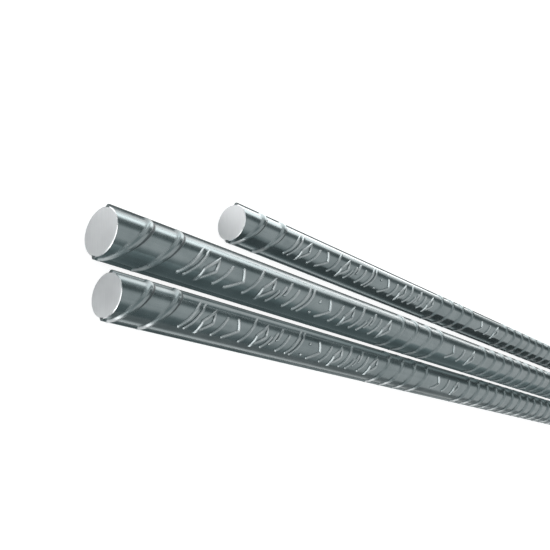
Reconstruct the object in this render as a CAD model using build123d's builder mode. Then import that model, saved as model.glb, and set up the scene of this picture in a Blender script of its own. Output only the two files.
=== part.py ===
"""Three loose ribbed reinforcing bars lying side by side on a floor.

Lengths are in mm. +X runs along the bars away from their near ends, +Y goes from the front bar
to the back bar, and +Z is up.
"""

import os
from math import sqrt

from build123d import *

# The stock: every bar is cut to one length, and its sawn edges are broken a little.
bar_length = 2000.0
edge_break = 0.35

# The larger bar, nominal size 28: round core and the two longitudinal ribs that the rolls leave on it.
large_core_radius = 13.7
large_rib_height = 1.4
large_rib_base = 3.2
large_rib_crest = 1.7
large_root_radius = 0.8
large_crest_radius = 0.45

# The smaller bars, nominal size 25.
small_core_radius = 12.25
small_rib_height = 1.25
small_rib_base = 2.9
small_rib_crest = 1.55
small_root_radius = 0.7
small_crest_radius = 0.4

# How they lie: spacing between axes, and how far the outer bars' near ends are set back from
# the middle bar's.
front_spacing = 33.0
back_spacing = 37.9
front_setback = 6.2
back_setback = 102.8

# The middle bar's axis stands this far from the centre of the bundle's width.
middle_across = -2.3

# Each bar's roll: degrees that its back longitudinal rib is turned up from level.
front_roll = 15.0
middle_roll = 22.0
back_roll = 20.0

# Shares of a whole, and the corners that the two ribs have at their roots, and again at their crests.
half_share = 0.5
rib_corners = 4

large_section = (
    large_core_radius,
    large_rib_height,
    large_rib_base,
    large_rib_crest,
    large_root_radius,
    large_crest_radius,
)
small_section = (
    small_core_radius,
    small_rib_height,
    small_rib_base,
    small_rib_crest,
    small_root_radius,
    small_crest_radius,
)


def rib_outline(core_radius, height, base, crest):
    """Corners of a band across the core whose two ends stand out of it as the longitudinal ribs."""
    root_x = sqrt(core_radius**2 - (base * half_share) ** 2)
    crest_x = core_radius + height
    quarter = [(root_x, base * half_share), (crest_x, crest * half_share)]
    right = quarter + [(x, -y) for x, y in reversed(quarter)]
    return right + [(-x, -y) for x, y in right]


def rebar(near_end, across, roll, section):
    """One bar along +X, resting on the floor on the underside of its core."""
    core_radius, height, base, crest, root_radius, crest_radius = section
    axis_point = (across, core_radius, 0)
    with BuildPart() as bar:
        with BuildSketch(Plane.YZ.offset(near_end)) as outline:
            with Locations(Location(axis_point, (0, 0, roll))):
                Circle(core_radius)
                Polygon(*rib_outline(core_radius, height, base, crest), align=None)
            roots = outline.vertices().sort_by_distance(axis_point)[:rib_corners]
            fillet(roots, root_radius)
            crests = outline.vertices().sort_by_distance(axis_point)[-rib_corners:]
            fillet(crests, crest_radius)
        extrude(amount=bar_length)
        sawn_ends = bar.faces().filter_by(Axis.X)
        chamfer(sawn_ends.edges(), edge_break)
    return bar.part


bundle_length = bar_length + back_setback
middle_end = -bundle_length * half_share

bars = {
    "rebar_front": rebar(middle_end + front_setback, middle_across - front_spacing, front_roll, small_section),
    "rebar_middle": rebar(middle_end, middle_across, middle_roll, large_section),
    "rebar_back": rebar(middle_end + back_setback, middle_across + back_spacing, back_roll, small_section),
}

os.makedirs("parts", exist_ok=True)
for name, part in bars.items():
    part.label = name
    export_step(part, f"parts/{name}.step")
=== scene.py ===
"""Dresses three loose reinforcing bars: transverse ribs, raised marks, steel skin, sawn ends, studio and camera."""

import math

import bpy
import numpy as np
from mathutils import Matrix, Vector


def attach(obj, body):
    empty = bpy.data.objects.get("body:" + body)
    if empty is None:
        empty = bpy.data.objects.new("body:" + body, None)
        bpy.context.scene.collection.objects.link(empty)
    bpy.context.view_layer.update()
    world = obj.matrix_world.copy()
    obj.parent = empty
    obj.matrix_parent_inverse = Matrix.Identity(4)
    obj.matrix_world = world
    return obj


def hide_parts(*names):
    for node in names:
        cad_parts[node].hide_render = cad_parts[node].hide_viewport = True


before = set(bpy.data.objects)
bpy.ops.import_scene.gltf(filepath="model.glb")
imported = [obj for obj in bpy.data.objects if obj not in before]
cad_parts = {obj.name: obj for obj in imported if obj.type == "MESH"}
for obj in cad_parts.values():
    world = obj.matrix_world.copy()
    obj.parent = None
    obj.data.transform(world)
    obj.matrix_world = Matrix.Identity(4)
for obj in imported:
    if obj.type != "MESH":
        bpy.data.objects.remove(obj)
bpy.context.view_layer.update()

# Lengths are in mm until MM turns them into metres, and angles are in degrees, unless a comment says otherwise.
MM = 0.001
BAR_LENGTH = 2000.0
EDGE_BREAK = 0.35  # chamfer round a sawn end
FACE_RING = 0.96  # radius of a ring on the sawn face, as a share of the core's
LEAST_ROW = 0.12  # a row of the mesh that comes nearer than this to a chamfer joins its ring
SHARP_ANGLE = 38.0

# Each bar: place of its near end, the section that its solid has, its roll, and its transverse ribs as they show.
BARS = {
    "rebar_front": dict(
        near=-1045.2, across=-35.3, core=12.25, rib_height=1.25, rib_crest=0.62, rib_foot=1.7, roll=15.0,
        pitch=20.2, slant=19.6, first=13.8, near_half=3.3, far_half=2.7,
    ),
    "rebar_middle": dict(
        near=-1051.4, across=-2.3, core=13.7, rib_height=1.4, rib_crest=0.7, rib_foot=1.85, roll=22.0,
        pitch=22.5, slant=22.4, first=14.8, near_half=3.6, far_half=3.0,
    ),
    "rebar_back": dict(
        near=-948.6, across=35.6, core=12.25, rib_height=1.25, rib_crest=0.62, rib_foot=1.7, roll=20.0,
        pitch=21.05, slant=19.2, first=13.5, near_half=3.3, far_half=2.7,
    ),
}

# Transverse ribs, the same on every bar.
TRANSVERSE_HEIGHT = 1.7  # above the core, half way between the longitudinal ribs
TRANSVERSE_END = 1.25  # the same where a rib runs into them
RIB_FLAT = 0.22  # share of a rib's half width that is crest
RIB_TAPER = 0.4  # share by which a rib narrows towards the front longitudinal rib
TAPER_TURN = (0.2, 0.95)  # where it narrows, as cosines of the angle from that rib
RIB_BLEND = 5  # power by which the two kinds of rib run into each other
FLOOR_Z = -TRANSVERSE_HEIGHT

# On the marked side, these ribs are left out, counted from the near end, to make room for the raised marks.
LONG_BLANK = range(2, 12)
SHORT_BLANK = range(16, 19)
BLANK_EDGE = 0.12  # sine of the angle over which a rib ends there

# Places of the mesh's rows across one rib, in half widths of its flanks, and between ribs, in shares of the gap.
RIB_ROWS = (-1.25, -1.0, -0.8, -0.62, -0.45, -0.28, -0.1, 0.1, 0.22, 0.36, 0.68, 1.0, 1.3)
GAP_ROWS = (0.25, 0.5, 0.75)
# Places of its columns across half a longitudinal rib, in half widths of the foot, and how many lie between two.
FIN_COLUMNS = (0.24, 0.4, 0.54, 0.69, 0.84, 1.0, 1.3)
SIDE_COLUMNS = 13

# Where painted shade lies as dark lines, from none to full and from full to none: across a transverse rib's near and
# far flanks in half widths, and across the back longitudinal rib in half widths of its foot.
NEAR_SHADE = (0.55, 0.8, 1.0, 1.25)
FAR_SHADE = (0.25, 0.6, 1.0, 1.3)
BACK_SHADE = (-1.3, -1.0, 0.55, 0.95)
NEAR_SHADE_SHARE = 0.14  # how thick it is on the near flank
BACK_SHADE_BREAK = 0.7  # share of it that is gone where a transverse rib meets the back longitudinal rib
EDGE_SHADE = 0.8  # how thick it is on the longitudinal ribs' sawn ends

# Where a transverse rib has a pale painted highlight, from full to none across its near and far flanks, and from none
# to full as cosines of the angle from the front longitudinal rib.
NEAR_LIP = (0.5, 0.95)
FAR_LIP = (0.0, 0.3)
HIGHLIGHT_TURN = (0.55, 0.95)

# The finishes of a bar's faces, in the order of its materials. The longitudinal ribs keep their skin at the ends.
# The third finish is the chamfer, made pale as a painted highlight along the rim.
ROLLED, SAWN, PALE_RIM = 0, 1, 2
SKIN_TO_END = 0.8  # half width of the skin there, in half widths of the foot


def smooth(value, low, high):
    """Smooth step from 0 at low to 1 at high."""
    t = np.clip((value - low) / (high - low), 0.0, 1.0)
    return t * t * (3.0 - 2.0 * t)


def band(value, from_none, to_full, from_full, to_none):
    """Smooth band that is 1 between its two middle limits and 0 outside its outer ones."""
    return smooth(value, from_none, to_full) * (1.0 - smooth(value, from_full, to_none))


def arc_from_fin(bar, angle):
    """Arc length from the nearer longitudinal rib's middle, at angles round the bar."""
    return np.abs((angle + math.pi / 2) % math.pi - math.pi / 2) * bar["core"]


def column_angles(bar):
    """Angles round the bar, from its back longitudinal rib, close together on both longitudinal ribs."""
    foot = bar["rib_foot"] / bar["core"]
    fin = np.array(FIN_COLUMNS) * foot
    side = np.linspace(fin[-1], math.pi - fin[-1], SIDE_COLUMNS + 2)[1:-1]
    half = np.concatenate([-fin[::-1], [0.0], fin, side])
    return np.concatenate([half, half + math.pi])


def flank_widths(bar, angle):
    """Half widths of a transverse rib's near and far flanks at angles round the bar."""
    taper = 1.0 - RIB_TAPER * smooth(-np.cos(angle), *TAPER_TURN)
    return bar["near_half"] * taper, bar["far_half"] * taper


def row_places(bar, angles):
    """Places along the bar, measured on the ribs' slant, close together on every rib: rows by columns."""
    near, far = flank_widths(bar, angles)
    across = np.array(RIB_ROWS)[:, None]
    rib = np.where(across < 0, across * near, across * far)
    gap = bar["pitch"] + RIB_ROWS[0] * near - RIB_ROWS[-1] * far
    between = RIB_ROWS[-1] * far + np.array(GAP_ROWS)[:, None] * gap
    one = np.concatenate([rib, between])
    first = math.floor((-bar["slant"] / 2 - bar["first"]) / bar["pitch"]) - 1
    last = math.ceil((BAR_LENGTH + bar["slant"] / 2 - bar["first"]) / bar["pitch"]) + 1
    return np.concatenate([bar["first"] + k * bar["pitch"] + one for k in range(first, last + 1)])


def relief(bar, place, angle):
    """At places on the slant and angles round the bar: height of both kinds of rib above the core, and tints.

    The tints have three columns: how far up a transverse rib, how much painted shade (the scale column) lies in its
    feet and on the back longitudinal rib, and how much painted highlight its front end has.
    """
    near, far = flank_widths(bar, angle)
    shift = (near - far) / 2
    k = np.round((place + shift - bar["first"]) / bar["pitch"])
    off = place - bar["first"] - k * bar["pitch"]
    out = np.where(off < 0, -off / near, off / far)
    fall = np.clip((out - RIB_FLAT) / (1.0 - RIB_FLAT), 0.0, 1.0)
    profile = np.where(off < 0, 0.5 + 0.5 * np.cos(math.pi * fall), 1.0 - fall)
    blank = np.isin(k, list(LONG_BLANK) + list(SHORT_BLANK))
    marked_side = smooth(np.sin(angle), -BLANK_EDGE, BLANK_EDGE)
    present = np.where(k < 0, 0.0, np.where(blank, 1.0 - marked_side, 1.0))
    share = profile * present
    transverse = share * (TRANSVERSE_END + (TRANSVERSE_HEIGHT - TRANSVERSE_END) * np.sin(angle) ** 2)
    longitudinal = bar["rib_height"] * (1.0 - smooth(arc_from_fin(bar, angle), bar["rib_crest"], bar["rib_foot"]))
    height = (transverse**RIB_BLEND + longitudinal**RIB_BLEND) ** (1.0 / RIB_BLEND)

    # Painted shade: dark lines, thin at the near foot and full on the far flank, and along the back longitudinal rib.
    feet = np.where(off < 0, NEAR_SHADE_SHARE * band(out, *NEAR_SHADE), band(out, *FAR_SHADE))
    from_back = ((angle + math.pi) % (2 * math.pi) - math.pi) * bar["core"] / bar["rib_foot"]
    back_edge = band(from_back, *BACK_SHADE) * (1.0 - BACK_SHADE_BREAK * share)
    scale = np.maximum(present * feet, back_edge)
    # Painted highlight: pale front ends of the transverse ribs.
    lip = 1.0 - np.where(off < 0, smooth(out, *NEAR_LIP), smooth(out, *FAR_LIP))
    painted_highlight = present * lip * smooth(-np.cos(angle), *HIGHLIGHT_TURN)
    return height, np.stack([share, scale, painted_highlight], axis=-1)


def on_bar(bar, along, angle, radius):
    """Points in metres from places along the bar, angles round it and radii."""
    turn = angle + math.radians(bar["roll"])
    return np.stack(
        [
            (bar["near"] + along) * MM + 0.0 * turn,
            (bar["across"] + radius * np.cos(turn)) * MM,
            (bar["core"] + radius * np.sin(turn)) * MM,
        ],
        axis=-1,
    )


def body_mesh(bar):
    """The whole bar as one closed skin: points, faces, the tints at each point (crest, painted shade and painted
    highlight), and each face's finish.
    """
    angles = column_angles(bar)
    places = row_places(bar, angles)
    rows, columns = places.shape
    lean = bar["slant"] / 2 * np.cos(angles)
    along = places + lean
    low, high = EDGE_BREAK, BAR_LENGTH - EDGE_BREAK
    before, after = along <= low + LEAST_ROW, along >= high - LEAST_ROW
    inside = ~before & ~after
    count = int(inside.sum())
    number = np.full((rows, columns), -1)
    number[inside] = np.arange(count)
    near_ring = count + np.arange(columns)
    far_ring = near_ring + columns
    number = np.where(before, near_ring[None, :], number)
    number = np.where(after, far_ring[None, :], number)

    grid_angle = np.broadcast_to(angles[None, :], along.shape)
    height, tint = relief(bar, places[inside], grid_angle[inside])
    points = [on_bar(bar, along[inside], grid_angle[inside], bar["core"] + height)]
    tints = [tint]
    edge_rings, face_rings = [], []
    for edge, face in ((low, 0.0), (high, BAR_LENGTH)):
        rise, tint = relief(bar, edge - lean, angles)
        # The longitudinal ribs' tips at the sawn ends get painted shade.
        tip = np.array([0.0, EDGE_SHADE, 0.0]) * np.ones_like(tint)
        edge_rings.append((edge, bar["core"] + rise, tint))
        face_rings.append((face, bar["core"] + rise - EDGE_BREAK, tip))
        face_rings.append((face, FACE_RING * bar["core"] + 0.0 * rise, tip))
    for where, radius, tint in edge_rings + face_rings:
        points.append(on_bar(bar, where + 0.0 * angles, angles, radius))
        tints.append(tint)
    centres = np.array([[0.0, 0.0, 0.0], [BAR_LENGTH, 0.0, 0.0]])
    points.append(on_bar(bar, centres[:, 0], centres[:, 1], centres[:, 2]))
    tints.append(np.zeros((2, 3)))
    ring_starts = count + columns * np.arange(2, 6)
    near_face, near_inner, far_face, far_inner = (start + np.arange(columns) for start in ring_starts)
    near_centre, far_centre = count + 6 * columns, count + 6 * columns + 1

    faces, finish = [], []
    step = np.roll(np.arange(columns), -1)
    quads = np.stack([number[:-1], number[:-1][:, step], number[1:][:, step], number[1:]], axis=-1)
    for quad in quads.reshape(-1, 4).tolist():
        face = [v for n, v in enumerate(quad) if v != quad[n - 1]]
        if len(face) > 2:
            faces.append(face)
    finish += [ROLLED] * len(faces)
    turn = arc_from_fin(bar, angles)
    on_core = (turn + turn[step]) / 2 > SKIN_TO_END * bar["rib_foot"]
    bands = (
        (near_face, near_ring, PALE_RIM),
        (near_inner, near_face, SAWN),
        (far_ring, far_face, PALE_RIM),
        (far_face, far_inner, SAWN),
    )
    for first, second, cut in bands:
        faces += np.stack([first, first[step], second[step], second], axis=-1).tolist()
        finish += np.where(on_core, cut, ROLLED).tolist()
    faces += [[near_centre, b, a] for a, b in zip(near_inner.tolist(), near_inner[step].tolist())]
    faces += [[far_centre, a, b] for a, b in zip(far_inner.tolist(), far_inner[step].tolist())]
    finish += [SAWN] * (2 * columns)
    return np.concatenate(points), faces, np.concatenate(tints), finish


# Raised marks are ridges with round tops and ends, pressed a little into the core so that no gap shows. Widths and
# reaches are for a bar with this core, and smaller bars have smaller marks.
MARK_CORE = 13.7
MARK_WIDTH = 2.5
MARK_HEIGHT = 1.25
MARK_BED = 0.05  # how far the foot of a ridge lies under the core's surface
MARK_SINK = 0.4  # how far its underside does, besides
MARK_STEP = 1.2  # most length between two sections of a ridge
MARK_LEAN = 0.8  # how far a stroke leans along the bar for its height round it, as the transverse ribs do
MARK_MITRE = 0.4  # least cosine of half the turn at a corner, so that no corner runs far out
MARK_HIGHLIGHT = 0.5  # how much painted highlight a ridge's near upper side has, at most
MARK_HIGHLIGHT_EDGE = 0.45  # where that ends across the ridge, in half widths from its middle
MARK_SIDE = 90.0  # angle from the back longitudinal rib to the middle of the marked side
# A ridge's section, as places across in half widths and shares of its height, where below 0 is its underside, and the
# places of the sections in its round ends, in half widths.
MARK_SECTION = (
    (-1.0, -1.0), (-1.0, 0.0), (-0.7, 0.5), (-0.4, 0.9), (0.0, 1.0), (0.4, 0.9), (0.7, 0.5), (1.0, 0.0), (1.0, -1.0),
)
MARK_END = (0.04, 0.13, 0.3, 0.55, 0.85)

# Plain signs, as paths of points: mm across a sign of the long row, and from -1 at its lower end to 1 at its upper end.
SIGNS = {
    "tall": (((0.0, -1.0), (0.0, 1.0)),),
    "pair": (((-2.4, -1.0), (-2.4, 1.0)), ((2.4, -1.0), (2.4, 1.0))),
    "low": (((0.0, -1.0), (0.0, 0.4)),),
    "dots": (((0.0, -0.8), (0.0, -0.79)), ((0.0, 0.2), (0.0, 0.21))),
    "lozenge": (((0.0, -1.0), (4.4, -0.2), (0.0, 0.6), (-4.4, -0.2), (0.0, -1.0)),),
    "arrow": (((-3.2, -1.0), (3.2, -0.25), (-3.2, 0.5)),),
    "steps": (((-3.6, -1.0), (-3.6, -0.1)), ((0.0, -0.6), (0.0, 0.3)), ((3.6, -0.2), (3.6, 0.7))),
}
LONG_ROW = (
    "pair", "lozenge", "low", "arrow", "tall", "lozenge", "steps", "low", "pair", "dots", "arrow", "low", "lozenge",
    "tall", "steps", "low", "lozenge",
)
SHORT_ROW = ("arrow", "low", "lozenge")
LONG_REACH = 9.2  # from the middle of a sign to its upper or lower end
SHORT_REACH = 8.0
# Each row: its signs, the ribs that it stands in place of, how far inside the first and last of them it begins and
# ends, in pitches, and its signs' reach.
MARK_ROWS = (
    (LONG_ROW, LONG_BLANK, -0.1, LONG_REACH),
    (SHORT_ROW, SHORT_BLANK, 0.15, SHORT_REACH),
)


def ridge(bar, path, width, height):
    """One raised ridge along a path on the unrolled core, as places along the bar and arc lengths round it."""
    path = np.array(path, dtype=float)
    loop = np.allclose(path[0], path[-1])
    half = width / 2
    if not loop:
        first, last = path[1] - path[0], path[-1] - path[-2]
        path[0] -= half * first / np.linalg.norm(first)
        path[-1] += half * last / np.linalg.norm(last)
    legs = np.diff(path, axis=0)
    length = np.linalg.norm(legs, axis=1)
    start = np.concatenate([[0.0], np.cumsum(length)])
    total = start[-1]
    stops = np.concatenate(
        [np.linspace(start[n], start[n + 1], max(2, int(length[n] / MARK_STEP) + 1)) for n in range(len(legs))]
    )
    if not loop:
        ends = np.array(MARK_END) * half
        stops = stops[(stops > half) & (stops < total - half)]
        stops = np.concatenate([ends, stops, total - ends])
    stops = np.unique(np.round(stops, 4))
    if loop:
        stops = stops[:-1]
    leg = np.clip(np.searchsorted(start, stops, side="right") - 1, 0, len(legs) - 1)
    centre = path[leg] + legs[leg] * ((stops - start[leg]) / length[leg])[:, None]
    heading = legs / length[:, None]
    side = np.stack([-heading[leg, 1], heading[leg, 0]], axis=-1)
    for n, stop in enumerate(stops):
        corner = np.flatnonzero(np.abs(start - stop) < 1e-3)
        if len(corner) and (loop or 0 < corner[0] < len(legs)):
            before, after = heading[corner[0] - 1], heading[corner[0] % len(legs)]
            across = before + after
            across /= np.linalg.norm(across)
            side[n] = np.array([-across[1], across[0]]) / max(MARK_MITRE, float(before @ across))
    room = np.ones(len(stops)) if loop else np.clip(np.minimum(stops, total - stops) / half, 0.0, 1.0)
    swell = np.sqrt(1.0 - (1.0 - room) ** 2)
    points, tints = [], []
    for share, rise in MARK_SECTION:
        flat = centre + side * (share * half * swell)[:, None]
        lift = height * rise * swell if rise >= 0 else np.full(len(stops), -MARK_SINK)
        points.append(on_bar(bar, flat[:, 0], flat[:, 1] / bar["core"], bar["core"] + lift - MARK_BED))
        # Painted shade on each ridge's far foot, and a painted highlight on its near upper side.
        beyond = (flat - centre)[:, 0] / half
        far_foot = np.clip(beyond, 0.0, 1.0) * (1.0 - max(rise, 0.0))
        near_top = np.clip(MARK_HIGHLIGHT_EDGE - beyond, 0.0, 1.0) * max(rise, 0.0)
        tints.append(np.stack([0.0 * far_foot, far_foot, MARK_HIGHLIGHT * near_top], axis=-1))
    points, tints = np.stack(points, axis=1), np.stack(tints, axis=1)
    count, ring = points.shape[0], points.shape[1]
    faces = []
    for n in range(count if loop else count - 1):
        a, b = n * ring, (n + 1) % count * ring
        faces += [[a + m, b + m, b + (m + 1) % ring, a + (m + 1) % ring] for m in range(ring)]
    if not loop:
        faces += [list(range(ring)), [(count - 1) * ring + m for m in reversed(range(ring))]]
    return points.reshape(-1, 3), faces, tints.reshape(-1, 3)


def bar_marks(bar):
    """Both rows of raised marks on the side that shows, in the stretches where ribs are left out."""
    size = bar["core"] / MARK_CORE
    middle = math.radians(MARK_SIDE) * bar["core"]
    out = []
    for signs, blank, inset, row_reach in MARK_ROWS:
        reach = row_reach * size
        begin = bar["first"] + (blank[0] + inset) * bar["pitch"]
        finish = bar["first"] + (blank[-1] - inset) * bar["pitch"]
        for n, name in enumerate(signs):
            along = begin + (finish - begin) * n / (len(signs) - 1)
            for path in SIGNS[name]:
                spots = []
                for across, up in path:
                    arc = up * reach
                    spots.append((along + across * reach / LONG_REACH + MARK_LEAN * arc, middle - arc))
                out.append(ridge(bar, spots, MARK_WIDTH * size, MARK_HEIGHT))
    return out


def build_bar(name, bar, finishes):
    """Makes one bar's visual mesh and puts it in place of the bar's solid."""
    points, faces, tints, finish = body_mesh(bar)
    for mark_points, mark_faces, mark_tints in bar_marks(bar):
        faces += [[v + len(points) for v in face] for face in mark_faces]
        points = np.concatenate([points, mark_points])
        tints = np.concatenate([tints, mark_tints])
        finish += [ROLLED] * len(mark_faces)
    mesh = bpy.data.meshes.new(name + "_ribbed")
    mesh.from_pydata(points.tolist(), [], faces)
    for material in finishes:
        mesh.materials.append(material)
    mesh.polygons.foreach_set("material_index", np.array(finish, dtype=np.int32))
    mesh.polygons.foreach_set("use_smooth", np.ones(len(faces), dtype=bool))
    # Layers: the transverse ribs' crest share, painted shade in scale, and painted highlight.
    for n, layer in enumerate(("crest", "scale", "painted_highlight")):
        values = tints[:, n].astype(np.float32)
        mesh.attributes.new(layer, "FLOAT", "POINT").data.foreach_set("value", values)
    mesh.set_sharp_from_angle(angle=math.radians(SHARP_ANGLE))
    mesh.validate()
    piece = bpy.data.objects.new(name + "_ribbed", mesh)
    bpy.context.scene.collection.objects.link(piece)
    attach(piece, "root")
    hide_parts(name)


class Nodes:
    """Short calls for building a node tree."""

    def __init__(self, tree):
        self.tree = tree
        tree.nodes.clear()

    def add(self, kind, **settings):
        node = self.tree.nodes.new(kind)
        for key, value in settings.items():
            setattr(node, key, value)
        return node

    def link(self, source, target):
        self.tree.links.new(source, target)

    def put(self, socket, value):
        """Sets a socket, or links it where the value is another node's output."""
        if isinstance(value, bpy.types.NodeSocket):
            self.link(value, socket)
        else:
            socket.default_value = value

    def math(self, operation, first, second=0.0):
        node = self.add("ShaderNodeMath", operation=operation)
        self.put(node.inputs[0], first)
        self.put(node.inputs[1], second)
        return node.outputs[0]

    def blend(self, first, first_share, second, second_share):
        """Sum of shares of two values."""
        first = self.math("MULTIPLY", first, first_share)
        return self.math("ADD", first, self.math("MULTIPLY", second, second_share))

    def remap(self, value, low, high, to_low, to_high, kind="SMOOTHSTEP"):
        node = self.add("ShaderNodeMapRange", interpolation_type=kind)
        for n, item in enumerate((value, low, high, to_low, to_high)):
            self.put(node.inputs[n], item)
        return node.outputs[0]

    def place(self):
        return self.add("ShaderNodeTexCoord").outputs["Object"]

    def split(self, vector):
        """The X, Y and Z of a vector."""
        node = self.add("ShaderNodeSeparateXYZ")
        self.link(vector, node.inputs["Vector"])
        return node.outputs

    def noise(self, vector, scale, detail, roughness=0.5):
        node = self.add("ShaderNodeTexNoise")
        self.put(node.inputs["Vector"], vector)
        node.inputs["Scale"].default_value = scale
        node.inputs["Detail"].default_value = detail
        node.inputs["Roughness"].default_value = roughness
        return node.outputs["Fac"]

    def stretch(self, vector, scale):
        node = self.add("ShaderNodeMapping")
        self.put(node.inputs["Vector"], vector)
        node.inputs["Scale"].default_value = scale
        return node.outputs["Vector"]

    def ramp(self, value, levels, unit):
        """Levels at places along a value, as pairs of place and level, with the places in units of the value."""
        low, high = levels[0][0], levels[-1][0]
        node = self.add("ShaderNodeValToRGB")
        self.link(self.remap(value, low * unit, high * unit, 0.0, 1.0, "LINEAR"), node.inputs["Fac"])
        stops = node.color_ramp.elements
        while len(stops) < len(levels):
            stops.new(0.5)
        for stop, (place, level) in zip(stops, levels):
            stop.position = (place - low) / (high - low)
            stop.color = (level, level, level, 1.0)
        return node.outputs["Color"]

    def mix(self, factor, first, second):
        node = self.add("ShaderNodeMix", data_type="RGBA")
        self.put(node.inputs["Factor"], factor)
        self.put(node.inputs["A"], first)
        self.put(node.inputs["B"], second)
        return node.outputs["Result"]

    def bump(self, height, strength, distance):
        node = self.add("ShaderNodeBump")
        node.inputs["Strength"].default_value = strength
        node.inputs["Distance"].default_value = distance
        self.link(height, node.inputs["Height"])
        return node.outputs["Normal"]

    def steel(self, colour, metallic, roughness, normal=None):
        """A steel surface, as the material's output."""
        shader = self.add("ShaderNodeBsdfPrincipled")
        self.put(shader.inputs["Base Color"], colour)
        self.put(shader.inputs["Metallic"], metallic)
        self.put(shader.inputs["Roughness"], roughness)
        if normal is not None:
            self.link(normal, shader.inputs["Normal"])
        self.surface(shader.outputs["BSDF"])

    def surface(self, shader):
        self.link(shader, self.add("ShaderNodeOutputMaterial").inputs["Surface"])


def new_material(name):
    material = bpy.data.materials.new(name)
    material.use_nodes = True
    return material, Nodes(material.node_tree)


SKIN_DARK, SKIN_LIGHT = (0.199, 0.24, 0.247, 1.0), (0.254, 0.298, 0.305, 1.0)
CREST_GREY = (0.3, 0.33, 0.335, 1.0)
# Black of the painted shade, and pale of the painted highlight below it.
SHADE_BLACK = (0.05, 0.06, 0.063, 1.0)
HIGHLIGHT_PALE = (0.84, 0.86, 0.87, 1.0)
SAWN_DARK, SAWN_LIGHT = (0.63, 0.64, 0.65, 1.0), (0.69, 0.7, 0.71, 1.0)
# Pale steel of the chamfer: a painted highlight along the rim.
PALE_RIM_DARK, PALE_RIM_LIGHT = (0.72, 0.73, 0.74, 1.0), (0.84, 0.85, 0.86, 1.0)


def rolled_steel():
    """Hot-rolled skin: dark cool grey satin, streaked along the bar, with painted shade as dark lines and painted
    highlights as pale places.
    """
    material, n = new_material("hot_rolled_steel")
    place = n.place()
    streak = n.noise(n.stretch(place, (9.0, 420.0, 420.0)), 1.0, 3.0)
    patch = n.noise(place, 46.0, 3.0, 0.55)
    grain = n.noise(place, 1500.0, 2.0, 0.6)
    crest, scale, tint = (
        n.add("ShaderNodeAttribute", attribute_name=name).outputs["Fac"] for name in ("crest", "scale", "painted_highlight")
    )
    tone = n.blend(streak, 0.25, patch, 0.75)
    colour = n.mix(n.remap(tone, 0.36, 0.64, 0.0, 1.0), SKIN_DARK, SKIN_LIGHT)
    on_crest = n.math("MULTIPLY", n.remap(crest, 0.7, 1.0, 0.0, 1.0), n.remap(patch, 0.35, 0.65, 0.1, 0.4))
    colour = n.mix(on_crest, colour, CREST_GREY)
    # Painted shade: dark lines from the scale layer at the rib feet, along the back longitudinal rib, on the ribs' tips
    # and at the marks' far feet.
    painted_shade = n.math("MULTIPLY", scale, n.remap(patch, 0.3, 0.7, 0.95, 0.75))
    colour = n.mix(painted_shade, colour, SHADE_BLACK)
    # Painted highlight: pale front ends of the transverse ribs and pale near upper sides of the marks, with less metal
    # there.
    painted_highlight = n.math("MULTIPLY", tint, n.remap(patch, 0.3, 0.7, 0.7, 1.0))
    colour = n.mix(painted_highlight, colour, HIGHLIGHT_PALE)
    metal_under_highlight = n.remap(tint, 0.0, 1.0, 0.9, 0.35, "LINEAR")
    metallic = n.math("MULTIPLY", metal_under_highlight, n.remap(scale, 0.0, 1.0, 1.0, 0.3, "LINEAR"))
    satin = n.remap(n.blend(grain, 0.3, patch, 0.7), 0.3, 0.7, 0.18, 0.26)
    roughness = n.math("ADD", satin, n.blend(tint, 0.15, scale, 0.25))
    normal = n.bump(n.blend(streak, 0.2, grain, 0.4), 0.35, 0.00008)
    n.steel(colour, metallic, roughness, normal)
    return material


def sawn_steel():
    """Freshly sawn end: pale plain grey with faint saw lines."""
    material, n = new_material("sawn_steel")
    place = n.place()
    lines = n.noise(n.stretch(place, (1.0, 60.0, 1900.0)), 1.0, 2.0)
    patch = n.noise(place, 90.0, 2.0)
    colour = n.mix(n.remap(n.blend(lines, 0.4, patch, 0.6), 0.35, 0.65, 0.0, 1.0), SAWN_DARK, SAWN_LIGHT)
    n.steel(colour, 0.4, n.remap(patch, 0.3, 0.7, 0.48, 0.58), n.bump(lines, 0.15, 0.00005))
    return material


def pale_rim_steel():
    """Chamfer round a sawn end in pale bright steel: a painted highlight along the rim."""
    material, n = new_material("pale_rim_steel")
    patch = n.noise(n.place(), 260.0, 2.0)
    colour = n.mix(n.remap(patch, 0.35, 0.65, 0.0, 1.0), PALE_RIM_DARK, PALE_RIM_LIGHT)
    n.steel(colour, 0.9, n.remap(patch, 0.3, 0.7, 0.22, 0.34))
    return material


# Colours of the studio's white cards and of its dark cloths.
WHITE, COOL_GREY = (1.0, 1.0, 1.0, 1.0), (0.78, 0.975, 1.0, 1.0)

FLOOR_SIZE = 8.0  # metres from the middle to each side
FLOOR_GREY = (0.335, 0.352, 0.355, 1.0)
FLOOR_TO_CAMERA = 0.9  # what the camera sees of the floor besides its grey, so that it is white
# How brightly the floor glows in the steel's reflections, as places across it in mm and levels: a painted reflection of
# a bright strip along the front bar and of bright card along the back bar, and painted shade as dark bands under and
# between the bars. Both fade along the bars, and evenly bright floor lies in front of the near ends: two places along
# in metres, and the share or level at each.
FRONT_FLOOR = (
    (-150, 0.05), (-67, 0.05), (-59, 0.85), (-53, 0.9), (-48, 0.7), (-30, 0.05), (-22, 0.1), (-17, 0.3), (0, 0.3),
    (2, 0.0),
)
BACK_FLOOR = (
    (0, 0.0), (2, 0.3), (12, 0.4), (18, 1.0), (25, 1.2), (30, 0.4), (42, 0.6), (50, 1.3), (60, 1.9), (84, 2.6),
    (100, 2.6), (150, 2.3),
)
FRONT_FADE = (-1.0, -0.7, 1.0, 0.5)
BACK_FADE = (-0.65, -0.3, 1.0, 0.2)
NEAR_FLOOR = (-1.11, -1.08, 1.1, 0.0)


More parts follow.
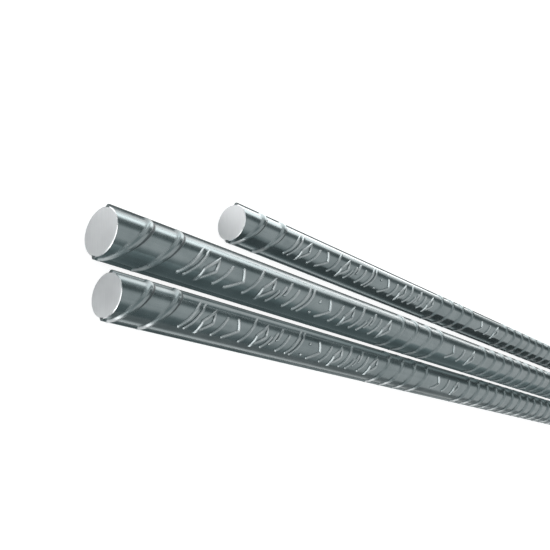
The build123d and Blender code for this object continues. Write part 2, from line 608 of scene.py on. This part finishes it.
def white_floor():
    """Pale floor that keeps the bars' soft shadow, shows white to the camera, and glows to the steel in bands of
    painted reflection and painted shade.
    """
    material, n = new_material("white_floor")
    path = n.add("ShaderNodeLightPath").outputs
    x, y, _ = n.split(n.place())
    front = n.math("MULTIPLY", n.ramp(y, FRONT_FLOOR, MM), n.remap(x, *FRONT_FADE))
    back = n.math("MULTIPLY", n.ramp(y, BACK_FLOOR, MM), n.remap(x, *BACK_FADE))
    lit = n.math("MAXIMUM", n.math("ADD", front, back), n.remap(x, *NEAR_FLOOR))
    mirrored = n.math("ADD", path["Is Glossy Ray"], path["Is Transmission Ray"])
    glow = n.add("ShaderNodeEmission")
    n.link(n.blend(mirrored, lit, path["Is Camera Ray"], FLOOR_TO_CAMERA), glow.inputs["Strength"])
    matt = n.add("ShaderNodeBsdfDiffuse")
    matt.inputs["Color"].default_value = FLOOR_GREY
    both = n.add("ShaderNodeAddShader")
    n.link(matt.outputs["BSDF"], both.inputs[0])
    n.link(glow.outputs["Emission"], both.inputs[1])
    n.surface(both.outputs["Shader"])
    return material


# Soft studio dome of one grey, and what is hung in it, as a change of level and the soft limits between which it
# lies, from none to full and from full to none: azimuth from +X towards +Y, turn from +X either way, elevation, and
# tilt round the bars from +Y upwards.
DOME = 0.864
DARKEST = 0.032
STUDIO = (
    (2.56, (("azimuth", 29, 48, 60, 82), ("elevation", -91, -90, 10, 20))),
    (-0.704, (("tilt", 18, 28, 52, 68), ("azimuth", 2, 14, 60, 85))),
    (-0.64, (("azimuth", -125, -100, -45, -28), ("elevation", -91, -90, 32, 56))),
    (-0.4, (("turn", 85, 115, 181, 182), ("elevation", 18, 28, 54, 68))),
    (2.4, (("azimuth", -182, -181, -120, -95), ("elevation", -91, -90, 10, 22))),
    (-0.64, (("azimuth", -14, -6, 22, 36), ("elevation", -91, -90, 9, 16))),
    (1.76, (("turn", 150, 165, 181, 182), ("elevation", 12, 20, 36, 46))),
)
# Levels between which the dome and the cards go from cool grey to white.
DOME_TINT = (0.2, 0.8)
CARD_TINT = (0.2, 1.0)


def studio_world():
    """The dome with all that is hung in it, which shows plain white to the camera."""
    world = bpy.data.worlds.new("studio")
    bpy.context.scene.world = world
    world.use_nodes = True
    n = Nodes(world.node_tree)
    x, y, z = n.split(n.add("ShaderNodeTexCoord").outputs["Generated"])
    azimuth = n.math("DEGREES", n.math("ARCTAN2", y, x))
    angles = {
        "azimuth": azimuth,
        "turn": n.math("ABSOLUTE", azimuth),
        "elevation": n.math("DEGREES", n.math("ARCSINE", z)),
        "tilt": n.math("DEGREES", n.math("ARCTAN2", z, y)),
    }
    level = DOME
    for change, limits in STUDIO:
        part = change
        for name, from_none, to_full, from_full, to_none in limits:
            part = n.math("MULTIPLY", n.remap(angles[name], from_none, to_full, 0.0, 1.0), part)
            part = n.math("MULTIPLY", n.remap(angles[name], from_full, to_none, 1.0, 0.0), part)
        level = n.math("ADD", part, level)
    level = n.math("MAXIMUM", level, DARKEST)
    to_camera = n.add("ShaderNodeLightPath").outputs["Is Camera Ray"]
    level = n.remap(to_camera, 0.0, 1.0, level, 1.0, "LINEAR")
    background = n.add("ShaderNodeBackground")
    n.link(n.mix(n.remap(level, *DOME_TINT, 0.0, 1.0), COOL_GREY, WHITE), background.inputs["Color"])
    n.link(level, background.inputs["Strength"])
    n.link(background.outputs["Background"], n.add("ShaderNodeOutputWorld").inputs["Surface"])


# Narrow cards that stand in the gaps, one for each bar's side, so that each bar shows its own card in place of its
# neighbour: the bar, place across, top, levels up the card, and shares of them along the bar from its near end.
CARDS = (
    (
        "rebar_front", -19.6, 28.0,
        ((0, 0.02), (10, 0.02), (15, 0.12), (19, 0.95), (22.5, 1.1), (25, 0.35), (28, 0.15)),
        ((0, 2.2), (40, 2.0), (52, 1.0), (115, 0.88), (170, 0.75), (225, 0.5), (300, 0.32), (2000, 0.4)),
    ),
    (
        "rebar_middle", -19.4, 28.0,
        ((0, 0.3), (10, 0.22), (19, 0.2), (24, 0.33), (28, 0.55)),
        ((0, 1.4), (20, 1.0), (300, 1.0), (500, 1.25), (2000, 1.25)),
    ),
    (
        "rebar_middle", 17.3, 24.0,
        ((0, 0.4), (8, 0.55), (14, 0.9), (18.6, 1.5), (22.5, 2.4), (24, 2.6)),
        ((0, 0.6), (30, 0.75), (70, 0.9), (120, 1.0), (350, 1.0), (500, 0.8), (2000, 0.8)),
    ),
    (
        "rebar_back", 17.5, 24.0,
        ((0, 0.9), (4, 0.6), (8, 0.2), (12, 0.12), (22, 0.12), (24, 0.15)),
        ((0, 1.0), (100, 1.0), (250, 0.6), (400, 0.5), (2000, 0.6)),
    ),
)


def stage_sheet(name, corners, material):
    """A flat sheet that belongs to the studio, from its corners in metres."""
    mesh = bpy.data.meshes.new(name)
    mesh.from_pydata(corners, [], [(0, 1, 2, 3)])
    mesh.materials.append(material)
    sheet = bpy.data.objects.new(name, mesh)
    bpy.context.scene.collection.objects.link(sheet)
    return sheet


def reflection_card(number, bar_name, across, top, up, along):
    """A glowing card that only reflections show."""
    name = "card_%d" % number
    near = BARS[bar_name]["near"]
    far = near + BAR_LENGTH
    material, n = new_material(name)
    x, _, z = n.split(n.place())
    shares = [(near + place, share) for place, share in along]
    level = n.math("MULTIPLY", n.ramp(z, up, MM), n.ramp(x, shares, MM))
    glow = n.add("ShaderNodeEmission")
    n.link(n.mix(n.remap(level, *CARD_TINT, 0.0, 1.0), COOL_GREY, WHITE), glow.inputs["Color"])
    n.link(level, glow.inputs["Strength"])
    n.surface(glow.outputs["Emission"])
    corners = ((near, across, FLOOR_Z), (far, across, FLOOR_Z), (far, across, top), (near, across, top))
    card = stage_sheet(name, [tuple(v * MM for v in corner) for corner in corners], material)
    card.visible_camera = card.visible_diffuse = card.visible_transmission = card.visible_shadow = False


def floor_piece():
    """The floor under the transverse ribs."""
    signs = ((-1, -1), (1, -1), (1, 1), (-1, 1))
    corners = [(x * FLOOR_SIZE, y * FLOOR_SIZE, FLOOR_Z * MM) for x, y in signs]
    stage_sheet("floor", corners, white_floor())


# The camera: where it is from the middle bar's near end, and its own axes, as fitted to the photograph.
LENS = 47.16
SENSOR = 36.0
EYE = (-212.67, -151.05, 283.42)
CAMERA_RIGHT = (0.63398, -0.04306, 0.77215)
CAMERA_UP = (-0.23479, 0.94060, 0.24524)
CAMERA_BACK = (-0.73684, -0.33677, 0.58622)
CLIP_START, CLIP_END = 0.01, 50.0  # metres


def camera():
    """The photograph's viewpoint, from beside the near ends, with the camera rolled as the picture is."""
    data = bpy.data.cameras.new("camera")
    data.sensor_width = SENSOR
    data.lens = LENS
    data.clip_start = CLIP_START
    data.clip_end = CLIP_END
    item = bpy.data.objects.new("camera", data)
    bpy.context.scene.collection.objects.link(item)
    middle = BARS["rebar_middle"]
    eye = (Vector((middle["near"], middle["across"], middle["core"])) + Vector(EYE)) * MM
    turn = Matrix((CAMERA_RIGHT, CAMERA_UP, CAMERA_BACK)).transposed()
    item.matrix_world = Matrix.Translation(eye) @ turn.to_4x4()
    bpy.context.scene.camera = item


finishes = (rolled_steel(), sawn_steel(), pale_rim_steel())
for bar_name, bar_values in BARS.items():
    build_bar(bar_name, bar_values, finishes)
for card_number, card_values in enumerate(CARDS):
    reflection_card(card_number, *card_values)
floor_piece()
studio_world()
camera()
bpy.context.scene.view_settings.view_transform = "Standard"
